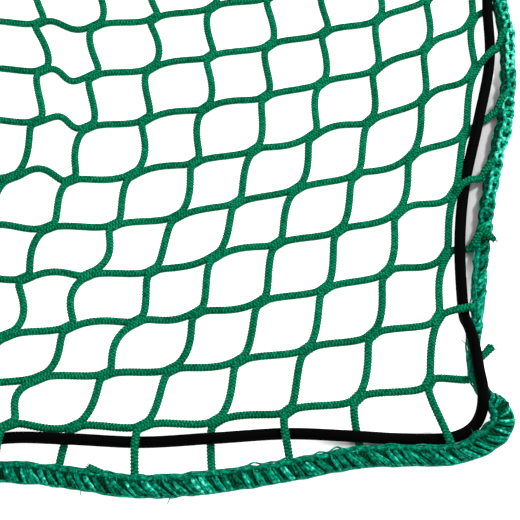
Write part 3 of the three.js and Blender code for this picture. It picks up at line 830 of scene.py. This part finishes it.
elastic_line = smooth_ring(elastic_stations, ELASTIC_POINTS)
elastic_path, elastic_at = even_rings(
    np.concatenate([elastic_line, elastic_line[:1]]),
    lambda path: np.full(len(path), ELASTIC_STEP),
)
elastic_surface = carried(
    elastic_path[None, :-1],
    (0, 0, 1),
    ELASTIC / 2,
    ELASTIC / 2,
    ELASTIC_SIDES,
    elastic_at[:-1] / ELASTIC_STITCH,
    ring=True,
)
elastic = new_piece("elastic_cord_cover", elastic_surface, elastic_cover())
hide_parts("elastic_cord")


# Border core
# The edge meshes are gathered round an edge rope: a dark bundle that shows only between the stitches,
# darkened further with painted shade.
CORE_INSET = 1.9  # how far the bundle lies inside the stitches
CORE_STEP = 2.6  # from ring to ring of its mesh
CORE_SIDES = 12
CORE_TONE_AND_SHADE = -5.0  # the bundle is much darker than the net: its own darker twine, and painted shade between the stitches

core_at = np.linspace(0, BORDER_LENGTH, int(BORDER_LENGTH / CORE_STEP), endpoint=False)
core_half = np.interp(core_at, route_at, route[:, 2]) / 2
core_path = np.column_stack([
    np.interp(core_at, route_at, route[:, 0]),
    np.interp(core_at, route_at, route[:, 1]),
    core_half * BORDER_FLATNESS,
])
core_surface = carried(
    core_path[None],
    (0, 0, 1),
    (core_half - CORE_INSET)[None, :, None],
    (core_half * BORDER_FLATNESS - CORE_INSET)[None, :, None],
    CORE_SIDES,
    core_at / STITCH,
    ring=True,
    tone=CORE_TONE_AND_SHADE,
)
core_piece = new_piece("border_core", core_surface, twine_material)
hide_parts("border")


# Overlock stitches
# Glossy polypropylene yarn sewn over the edge: each stitch is two flat ribbons of yarn laid aslant over the
# top to the outer edge, and one fine yarn over the ridge of yarn along the inner side. A thread holds them
# along each edge.
STITCH_PITCH = 6.4
STITCH_UNEVEN = 0.25  # a stitch lies up to this share of the pitch out of place
DIVE = 1.5  # the ends of a yarn dive this deep into the bundle
DIVE_POWER = 6  # only close to the ends
RIBBONS = 2
RIBBON_WIDE = 1.35  # half of a ribbon's width
RIBBON_THICK = 0.8  # half of its thickness
INNER_SPREAD = (1.0, 2.1)  # least and most from ribbon to ribbon at the inner end
OUTER_SPREAD = (1.5, 3.0)  # and at the outer end
SLANT = 8.0  # how far a ribbon runs along the border on its way over the top
SLANT_SWING = 3.0  # more or less of it in turn along the border
SLANT_WAVE = 180.0  # over this length
SLANTED_MOST = (-78.0, -170.0)  # place where the ribbons slant most
SLANT_UNEVEN = (1.2, 0.8)  # spread of the slant from stitch to stitch, and from ribbon to ribbon
SIDE_SLANT_LOSS = 0.5  # share of the slant that is lost on the sides
RIBBON_SIZES = (0.75, 1.2)
RIBBON_HEIGHTS = 0.7  # a ribbon lies up to this much higher or lower than usual
RIBBON_ENDS = 0.55  # size of a ribbon's ends against its middle
RIBBON_TONE = (0.5, 0.22)  # mean and spread from ribbon to ribbon
RIBBON_RUN = 20.0  # length of a ribbon on its UV map
RIBBON_RINGS = 9
RIBBON_SIDES = 5
WRAP_FRONT = (2.1, 0.1)  # a ribbon's ends round the section on the front and back edges, inner and outer
WRAP_SIDE = (1.9, 0.6)  # and on the sides
FINE_YARN = 0.42  # half the thickness of the fine yarn over the ridge
FINE_WRAP = (2.8, 1.75)  # its ends round the section, inner and outer
FINE_SLANT = 2.5
FINE_INSET = 0.1
FINE_TONE = (0.2, 0.6)
FINE_RUN = 10.0  # its length on its UV map
FINE_RINGS = 6
FINE_YARN_SIDES = 4
RIDGE = 2.1  # half of the ridge's thickness
RIDGE_PROUD = 0.3  # how far it stands out of the border's section
RIDGE_STEP = 2.2  # from ring to ring of its mesh
RIDGE_SIDES = 6
RIDGE_TURN = (2.4, 2.75)  # its place round the section on the front and back edges, and on the sides
RIDGE_BUMPS = 12.0  # it bulges between the meshes' ends, this far apart
RIDGE_BUMP = 0.5  # by this much
RIDGE_TONE = (0.35, -0.4)  # on the front and back edges, and on the sides
BUNCH = 1.5  # the ridge is bunched up, thicker by this much, on the inside of the front right-hand bend
BUNCH_REACH = 17.0
BUNCH_TURN = 0.45  # and lies lower there
BUNCH_TONE = -0.3  # and is darker
SIDE_SINK = 1.0  # on the sides the ribbons lie deeper, under the loops
SIDE_SHADE = 0.7  # and are darker there, painted shade under the loops

sewing_dice = np.random.default_rng(21)
stitch_count = int(BORDER_LENGTH / STITCH_PITCH)
stitch_jitter = sewing_dice.uniform(-STITCH_UNEVEN, STITCH_UNEVEN, stitch_count)
stitch_at = (np.arange(stitch_count) + stitch_jitter) * BORDER_LENGTH / stitch_count


def laid_over(at, ends, slants, inset, spread_by, rings):
    """Yarns laid over the border: each runs from its inner to its outer end round the section, aslant along
    the border in a smooth step, and its ends dive into the bundle. Returns path and lean, both
    (yarns, rings, 3)."""
    way = np.linspace(0, 1, rings)
    turn = ends[0] + (ends[1] - ends[0]) * way
    slanted = slants[:, None] * (3 * way**2 - 2 * way**3 - 0.5)
    dive = DIVE * np.abs(2 * way - 1) ** DIVE_POWER
    return border_place(at[:, None] + slanted + spread_by * way, turn, inset + dive)


ribbon_side = np.tile(np.arange(RIBBONS) - (RIBBONS - 1) / 2, stitch_count)
inner_spread = np.repeat(sewing_dice.uniform(*INNER_SPREAD, stitch_count), RIBBONS)
outer_spread = np.repeat(sewing_dice.uniform(*OUTER_SPREAD, stitch_count), RIBBONS)
ribbon_at = np.repeat(stitch_at, RIBBONS) + ribbon_side * inner_spread
ribbon_style = side_style(ribbon_at)
ribbon_count = len(ribbon_at)
most_at = route_at[np.argmin(np.hypot(*(route[:, :2] - SLANTED_MOST).T))]
stitch_slant = SLANT + SLANT_SWING * np.cos(2 * np.pi * (stitch_at - most_at) / SLANT_WAVE)
ribbon_slant = np.repeat(stitch_slant + sewing_dice.normal(0, SLANT_UNEVEN[0], stitch_count), RIBBONS)
ribbon_slant = ribbon_slant + sewing_dice.normal(0, SLANT_UNEVEN[1], ribbon_count)
ribbon_slant = ribbon_slant * (1 - SIDE_SLANT_LOSS * ribbon_style)
# Each ribbon's own tone at random, less painted shade on the sides under the loops
ribbon_tone_and_shade = np.clip(sewing_dice.normal(*RIBBON_TONE, ribbon_count), 0, 1) - SIDE_SHADE * ribbon_style
ribbon_size = sewing_dice.uniform(*RIBBON_SIZES, ribbon_count)[:, None, None]
ribbon_height = sewing_dice.uniform(-RIBBON_HEIGHTS, RIBBON_HEIGHTS, ribbon_count)
ribbon_ends = [
    front + (side - front) * ribbon_style[:, None] for front, side in zip(WRAP_FRONT, WRAP_SIDE)
]
ribbon_path, ribbon_lean = laid_over(
    ribbon_at,
    ribbon_ends,
    ribbon_slant,
    (RIBBON_THICK + SIDE_SINK * ribbon_style - ribbon_height)[:, None],
    (ribbon_side * (outer_spread - inner_spread))[:, None],
    RIBBON_RINGS,
)
ribbon_bulge = np.sin(np.pi * np.linspace(0, 1, RIBBON_RINGS))
swell = ribbon_size * (RIBBON_ENDS + (1 - RIBBON_ENDS) * ribbon_bulge)[None, :, None]
ribbon_surface = carried(
    ribbon_path,
    ribbon_lean,
    RIBBON_WIDE * swell,
    RIBBON_THICK * swell,
    RIBBON_SIDES,
    np.linspace(0, RIBBON_RUN, RIBBON_RINGS),
    tone=ribbon_tone_and_shade,
)
fine_path, fine_lean = laid_over(
    stitch_at - SLANT / 2, FINE_WRAP, np.full(stitch_count, FINE_SLANT), FINE_INSET, 0.0, FINE_RINGS
)
fine_surface = carried(
    fine_path,
    fine_lean,
    FINE_YARN,
    FINE_YARN,
    FINE_YARN_SIDES,
    np.linspace(0, FINE_RUN, FINE_RINGS),
    tone=sewing_dice.uniform(*FINE_TONE, stitch_count),
)
ridge_at = np.linspace(0, BORDER_LENGTH, int(BORDER_LENGTH / RIDGE_STEP), endpoint=False)
ridge_style = side_style(ridge_at)
ridge_turn = RIDGE_TURN[0] + (RIDGE_TURN[1] - RIDGE_TURN[0]) * ridge_style
ridge_tone = RIDGE_TONE[0] + (RIDGE_TONE[1] - RIDGE_TONE[0]) * ridge_style
bump_count = np.round(BORDER_LENGTH / RIDGE_BUMPS)
ridge_bumps = RIDGE_BUMP * np.sin(2 * np.pi * bump_count * ridge_at / BORDER_LENGTH)
bend = corner_joint + BORDER_CORNER[1, :2] * (1, -1)
bend_distance = np.linalg.norm(border_place(ridge_at, 0)[0][:, :2] - bend, axis=1)
bunched = np.exp(-((bend_distance / BUNCH_REACH) ** 2))
ridge_turn = ridge_turn + BUNCH_TURN * bunched
ridge_tone = ridge_tone + BUNCH_TONE * bunched
ridge_inset = RIDGE - RIDGE_PROUD - ridge_bumps - BUNCH * bunched
ridge_path, ridge_lean = border_place(ridge_at, ridge_turn, ridge_inset)
ridge_half = (RIDGE + BUNCH * bunched)[None, :, None]
ridge_surface = carried(
    ridge_path[None],
    ridge_lean[None],
    ridge_half,
    ridge_half,
    RIDGE_SIDES,
    ridge_at / STITCH,
    ring=True,
    tone=ridge_tone[None],
)


STREAK_STRETCH = (0.1, 7.0, 1.0)  # the streaks are long along the yarn and narrow round it


def yarn_with_painted_highlights():
    """Green yarn whose gloss is painted: fine fibres along its length in lighter and darker streaks, each
    yarn of its own tone, and small patches whose lightest parts are painted highlights."""
    nodes = Nodes("yarn_with_painted_highlights")
    uv, _, _ = nodes.lay()
    stretched = nodes.add("ShaderNodeMapping", [uv, None, None, STREAK_STRETCH])
    streaks = nodes.noise(stretched.outputs["Vector"], scale=2.0, detail=3.0)
    patches = nodes.noise(nodes.object_place(), scale=450.0)
    mixed = nodes.maths("MULTIPLY_ADD", streaks, 0.6, nodes.maths("MULTIPLY", nodes.tone(), 0.4))
    # The pale mint end of the ramp, where patches, streaks and tone are lightest, is painted highlight
    colour = nodes.ramp(
        nodes.maths("ADD", patches, nodes.maths("SUBTRACT", mixed, 0.5)),
        (0.2, (0.0, 0.025, 0.011)),
        (0.5, (0.0, 0.165, 0.09)),
        (0.7, (0.004, 0.43, 0.27)),
        (0.86, (0.17, 0.84, 0.65)),
    )
    return nodes.finish(
        colour, streaks, bump_depth=0.0005, bump_strength=0.8, roughness=0.5, specular=0.02
    )


yarn_material = yarn_with_painted_highlights()
stitches_piece = new_piece(
    "border_stitches", joined([ridge_surface, ribbon_surface, fine_surface]), yarn_material
)
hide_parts("border")

# The thread along each edge bows out a little between the stitches. Columns: half of its thickness, the
# furthest that it bows out, its inset, and its place round the section on the front and back edges and on
# the sides.
THREADS = [
    (0.7, 1.5, -0.2, (2.85, 2.95)),  # along the inner edge
    (1.3, 0.8, 0.4, (-0.12, -0.35)),  # along the outer edge
]
THREAD_SPAN = 11.0  # from one place where the yarn holds the thread to the next
BOW_POWER = 4  # most bows are small
THREAD_STEP = 1.1  # from ring to ring of its mesh
THREAD_SIDES = 5
THREAD_TONE = 0.6
thread_at = np.linspace(0, BORDER_LENGTH, int(BORDER_LENGTH / THREAD_STEP), endpoint=False)
thread_style = side_style(thread_at)
thread_spans = int(BORDER_LENGTH / THREAD_SPAN)
thread_span = thread_at / BORDER_LENGTH * thread_spans
edge_threads = []
for thick, furthest, inset, (front_turn, side_turn) in THREADS:
    span_bow = furthest * sewing_dice.uniform(0, 1, thread_spans) ** BOW_POWER
    bow = span_bow[np.floor(thread_span).astype(int)] * np.sin(np.pi * thread_span) ** 2
    turn = front_turn + (side_turn - front_turn) * thread_style
    thread_path, thread_lean = border_place(thread_at, turn, thick + inset - bow)
    edge_threads.append(
        carried(
            thread_path[None],
            thread_lean[None],
            thick,
            thick,
            THREAD_SIDES,
            thread_at,
            ring=True,
            tone=THREAD_TONE,
        )
    )

# The chain of loops on top of the sides, where the stitches' outer ends have rolled up: each loop lies with
# its end on the next
LOOP_PITCH = 8.6
LOOP_UNEVEN = 0.15  # a loop lies up to this share of the pitch out of place
LOOPS_FROM = 0.4  # the chain begins where the border is this much a side
LOOP_LONG = 5.6  # half of a loop's length
LOOP_WIDE = 4.2  # half of its width
LOOP_SIZES = (0.7, 1.15)
LOOP_TAPER = 0.25  # the end that lies on the next loop is wider by this share, and the other narrower
LOOP_TILT = 1.0  # and higher by this much, and the other lower
LOOP_YARN = 1.6  # half of the yarn's thickness
LOOP_FLATNESS = 0.85  # its height as a share of its width
LOOP_INSET = 0.8  # how deep the chain lies, as a share of that half
LOOP_HEIGHTS = 0.4  # lighter than the ribbons as a painted highlight on the loops, and differing at random from loop to loop
LOOP_TURN = 1.15  # where the chain lies round the section
LOOP_LEAN = 0.2  # spread of that from loop to loop
LOOP_TONE_AND_HIGHLIGHT = (0.5, 1.1)
LOOP_RUN = 4.0  # length on its UV map for each radian of a loop
LOOP_RINGS = 14
LOOP_SIDES = 5
loop_places = int(BORDER_LENGTH / LOOP_PITCH)
loop_jitter = sewing_dice.uniform(-LOOP_UNEVEN, LOOP_UNEVEN, loop_places)
loop_at = (np.arange(loop_places) + loop_jitter) * BORDER_LENGTH / loop_places
loop_at = loop_at[side_style(loop_at) > LOOPS_FROM]
loop_count = len(loop_at)
loop_angle = np.linspace(0, 2 * np.pi, LOOP_RINGS, endpoint=False)
loop_size = sewing_dice.uniform(*LOOP_SIZES, loop_count)[:, None]
loop_half = np.interp(loop_at, route_at, route[:, 2])[:, None] / 2
loop_lean_over = sewing_dice.normal(0, LOOP_LEAN, loop_count)[:, None]
loop_taper = 1 + LOOP_TAPER * np.cos(loop_angle)
loop_spread = LOOP_WIDE * loop_size * np.sin(loop_angle) * loop_taper / loop_half
loop_depth = sewing_dice.normal(0, LOOP_HEIGHTS, loop_count)[:, None]
loop_path, loop_lean = border_place(
    loop_at[:, None] + LOOP_LONG * loop_size * np.cos(loop_angle),
    LOOP_TURN + loop_lean_over + loop_spread,
    LOOP_YARN * LOOP_INSET - LOOP_TILT * np.cos(loop_angle) + loop_depth,
)
loop_surface = carried(
    loop_path,
    loop_lean,
    LOOP_YARN,
    LOOP_YARN * LOOP_FLATNESS,
    LOOP_SIDES,
    loop_angle * LOOP_RUN,
    ring=True,
    tone=sewing_dice.uniform(*LOOP_TONE_AND_HIGHLIGHT, loop_count),
)
edge_surface = joined([*edge_threads, loop_surface])
edge_piece = new_piece("border_edge_threads", edge_surface, yarn_material)
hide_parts("border")


# Cut ends
# A few twines were cut off beside the border and left: short stubs with frayed tips, and single fibres that
# stick out.
STUB_HALF = TWINE / 2.3  # half of a stub's thickness, a little less than the whole twine's
STUB_RINGS = 14
STUB_SIDES = 8
STUB_TONE = 0.6
FIBRES = 16  # at the tip of each stub
FIBRE = 0.28  # half of a fibre's thickness at its root
FIBRE_TAPER = np.array([1, 0.9, 0.7, 0.35])  # thickness from its root to its tip, one for each ring
FIBRE_RINGS = len(FIBRE_TAPER)
FIBRE_SIDES = 4
FIBRE_RUN = np.arange(float(FIBRE_RINGS))
FIBRE_LEAN = (0.1, 0.2, 1)  # a way that no fibre runs along
FIBRE_REACH = (0.6, 2.6)  # least and most that a fibre sticks out of the tip
ROOT_SPREAD = 0.8  # spread of the fibres inside the tip
TIP_SPREAD = 1.7  # and at their own tips
FIBRE_LOWEST = 1.0  # height that no fibre lies below
FRAYED_TONE = 0.8
LOOSE_TONE = 0.7
# Root and tip of each stub: right, back and height from the layout's origin, and its thickness at both as a
# share of the usual one
STUBS = [
    ((151.0, -75.5, 7.0), (158.6, -67.4, 6.5), (0.95, 1.35)),
    ((156.0, 21.5, 9.5), (167.0, 12.0, 7.5), (2.1, 0.8)),
    ((-99.0, -157.5, 9.0), (-112.5, -151.6, 9.5), (1.0, 1.0)),
]
LOOSE_FIBRES = [  # root and tip, as above
    ((-117.6, -163.0, 3.0), (-117.9, -168.5, 1.5)),
    ((141.5, -66.5, 8.0), (138.0, -63.0, 8.5)),
    ((142.8, -130.5, 8.0), (140.6, -126.0, 9.0)),
    ((-60.0, -176.0, 10.5), (-57.5, -171.0, 12.0)),
]


def straight(root, tip, rings):
    """Straight paths from roots to tips, with this many points evenly along each."""
    return root[..., None, :] + (tip - root)[..., None, :] * np.linspace(0, 1, rings)[:, None]


fibre_dice = np.random.default_rng(4)
cut_ends = []
for root, tip, thick in STUBS:
    root, tip = np.array(root), np.array(tip)
    stub_path = straight(root, tip, STUB_RINGS)
    stub_run = along(stub_path) / STITCH
    stub_relief = 1 + RELIEF * (stitches(stub_run[:, None], np.arange(STUB_SIDES) / STUB_SIDES) - GROOVES)
    stub_radius = (STUB_HALF * np.linspace(*thick, STUB_RINGS)[:, None] * stub_relief)[None]
    cut_ends.append(
        carried(stub_path[None], (0, 0, 1), stub_radius, stub_radius, STUB_SIDES, stub_run, tone=STUB_TONE)
    )
    heading = unit(tip - root)
    spread = fibre_dice.normal(0, 1.0, (FIBRES, 3))
    fibre_root = tip - heading + ROOT_SPREAD * spread
    fibre_tip = tip + heading * fibre_dice.uniform(*FIBRE_REACH, (FIBRES, 1)) + TIP_SPREAD * spread
    fibre_path = straight(fibre_root, fibre_tip, FIBRE_RINGS)
    fibre_path[..., 2] = np.maximum(fibre_path[..., 2], FIBRE_LOWEST)
    taper = FIBRE * FIBRE_TAPER[None, :, None]
    cut_ends.append(
        carried(fibre_path, FIBRE_LEAN, taper, taper, FIBRE_SIDES, FIBRE_RUN, tone=FRAYED_TONE)
    )
for root, tip in LOOSE_FIBRES:
    fibre_path = straight(np.array(root), np.array(tip), FIBRE_RINGS)[None]
    cut_ends.append(carried(fibre_path, FIBRE_LEAN, FIBRE, FIBRE, FIBRE_SIDES, FIBRE_RUN, tone=LOOSE_TONE))
cut_piece = new_piece("cut_twine_ends", joined(cut_ends), twine_material)
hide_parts("border")


# Floor, light and camera
# A pale floor that glows a little, with painted shade in two patches between the elastic and the border, soft
# light from above and behind, and a long lens over the corner.
FLOOR_HALF = 6.0
FLOOR_GLOW = 0.85
FLOOR_GREY = (0.8, 0.54)  # in the open, and in the painted shade
PAINTED_SHADE = [  # oval patches of painted shade on the floor between the elastic and the border: middle, half of each size, turn
    ((0.671, -0.236, 0), (0.016, 0.125, 1), -0.197),
    ((0.603, -0.4375, 0), (0.068, 0.007, 1), 0.02),
]
SHADE_FROM, SHADE_TO = 0.1, 0.45  # where a patch's painted shade begins and where it is full, from edge to middle


def floor_with_painted_shade():
    """Pale paint that glows, with painted shade: in each oval patch its grey falls and its glow fades evenly
    from the patch's edge to its middle."""
    nodes = Nodes("floor_paint")
    place = nodes.object_place()
    depths = []
    for middle, half, turn in PAINTED_SHADE:
        patch = nodes.add("ShaderNodeMapping", [place, middle, (0, 0, turn), half], vector_type="TEXTURE")
        fall = nodes.add("ShaderNodeTexGradient", [patch.outputs["Vector"]], gradient_type="SPHERICAL")
        depths.append(fall.outputs["Fac"])
    deepest = nodes.maths("MAXIMUM", *depths)
    open_grey, shade_grey = ((grey, grey, grey) for grey in FLOOR_GREY)
    glow = nodes.add("ShaderNodeMapRange", [deepest, SHADE_FROM, SHADE_TO, FLOOR_GLOW, 0.0])
    paint = nodes.shader.inputs
    nodes.put(paint["Base Color"], nodes.ramp(deepest, (SHADE_FROM, open_grey), (SHADE_TO, shade_grey)))
    nodes.put(paint["Emission Strength"], glow.outputs["Result"])
    paint["Emission Color"].default_value = (1, 1, 1, 1)
    paint["Roughness"].default_value = 0.9
    paint["Specular IOR Level"].default_value = 0.1
    return nodes.material


floor_mesh = bpy.data.meshes.new("floor")
floor_corners = ((-1, -1), (1, -1), (1, 1), (-1, 1))
floor_mesh.from_pydata(
    [(FLOOR_HALF * x, FLOOR_HALF * y, 0) for x, y in floor_corners],
    [],
    [(0, 1, 2, 3)],
)
floor_mesh.materials.append(floor_with_painted_shade())
floor = bpy.data.objects.new("floor", floor_mesh)
bpy.context.scene.collection.objects.link(floor)

SKY_STRENGTH = 0.9
world = bpy.data.worlds.new("studio")
world.use_nodes = True
sky = world.node_tree.nodes["Background"].inputs
sky["Color"].default_value = (1, 1, 1, 1)
sky["Strength"].default_value = SKY_STRENGTH
bpy.context.scene.world = world
bpy.context.scene.view_settings.view_transform = "Standard"

LAYOUT_ORIGIN = Vector(shift)  # the light and the camera point at it


def aimed(name, data, offset):
    """A light or camera that stands this far from the layout's origin and points at it."""
    thing = bpy.data.objects.new(name, data)
    thing.location = LAYOUT_ORIGIN + offset
    thing.rotation_euler = (-offset).to_track_quat("-Z", "Y").to_euler()
    bpy.context.scene.collection.objects.link(thing)
    return thing


KEY_FROM = Vector((1.1, 0.9, 1.5))
KEY_SIZE = 0.4
KEY_POWER = 38
key_data = bpy.data.lights.new("key", "AREA")
key_data.shape = "DISK"
key_data.size = KEY_SIZE
key_data.energy = KEY_POWER
aimed("key", key_data, KEY_FROM)

CAMERA_ELEVATION = math.radians(67)
CAMERA_DISTANCE = 0.874
LENS, SENSOR = 85, 36
camera_data = bpy.data.cameras.new("camera")
camera_data.lens = LENS
camera_data.sensor_width = SENSOR
camera_way = Vector((0, -math.cos(CAMERA_ELEVATION), math.sin(CAMERA_ELEVATION)))
bpy.context.scene.camera = aimed("camera", camera_data, camera_way * CAMERA_DISTANCE)
